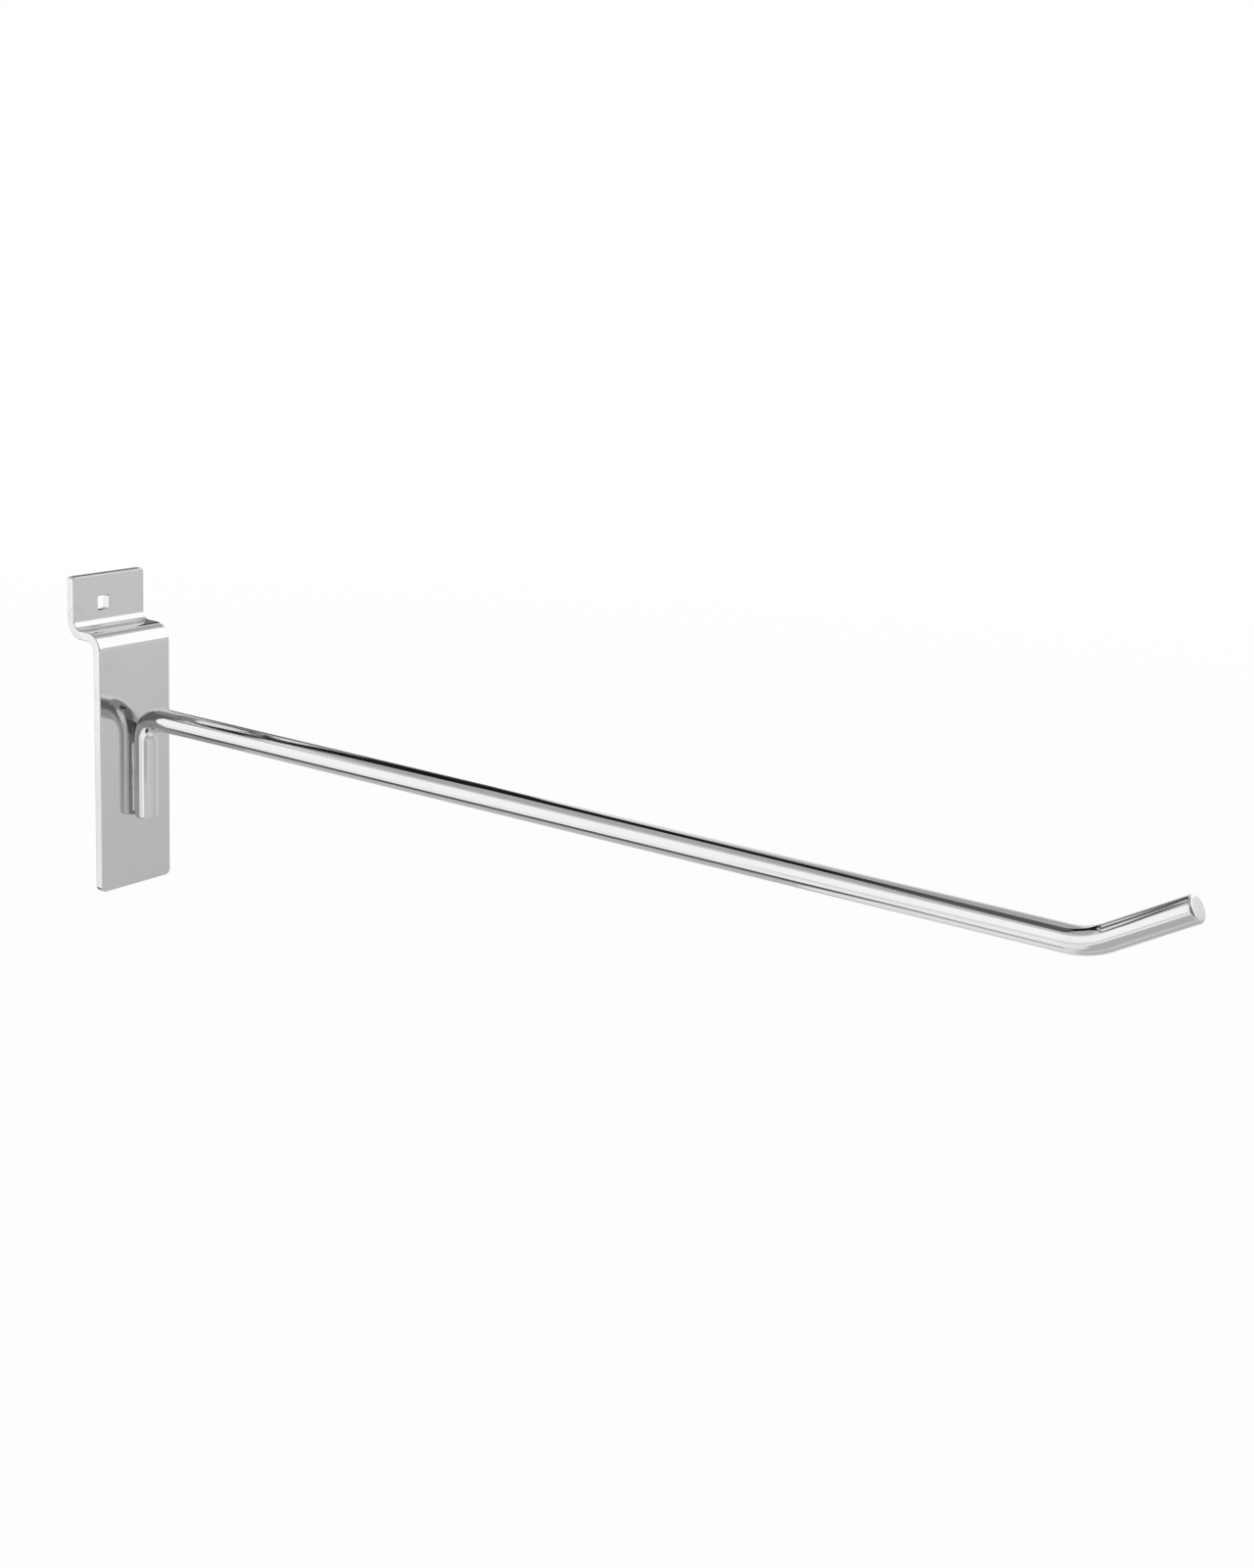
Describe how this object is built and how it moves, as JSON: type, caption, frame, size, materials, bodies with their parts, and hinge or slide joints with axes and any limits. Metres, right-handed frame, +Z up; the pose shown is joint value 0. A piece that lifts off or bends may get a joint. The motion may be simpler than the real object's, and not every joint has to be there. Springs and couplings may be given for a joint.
{
  "type": "slatwall hook",
  "caption": "Chrome slatwall hook: a folded plate with a tongue that hooks behind the slat's lip, and a straight wire prong with an upturned tip that holds hanging goods.",
  "frame": {"origin": "middle line of the plate's back face, which lies on the panel, at the height of the prong's axis", "axes": "+Y into the panel, so the prong runs along -Y; +Z up; X across the plate"},
  "size_m": [0.0254, 0.3169, 0.0864],
  "materials": {
    "chrome_plating": "bright chrome plating over steel, mirror-like, with faint rolling and drawing lines"
  },
  "bodies": {
    "root": {"back_plate": "chrome_plating", "prong": "chrome_plating"}
  },
  "joints": []
}
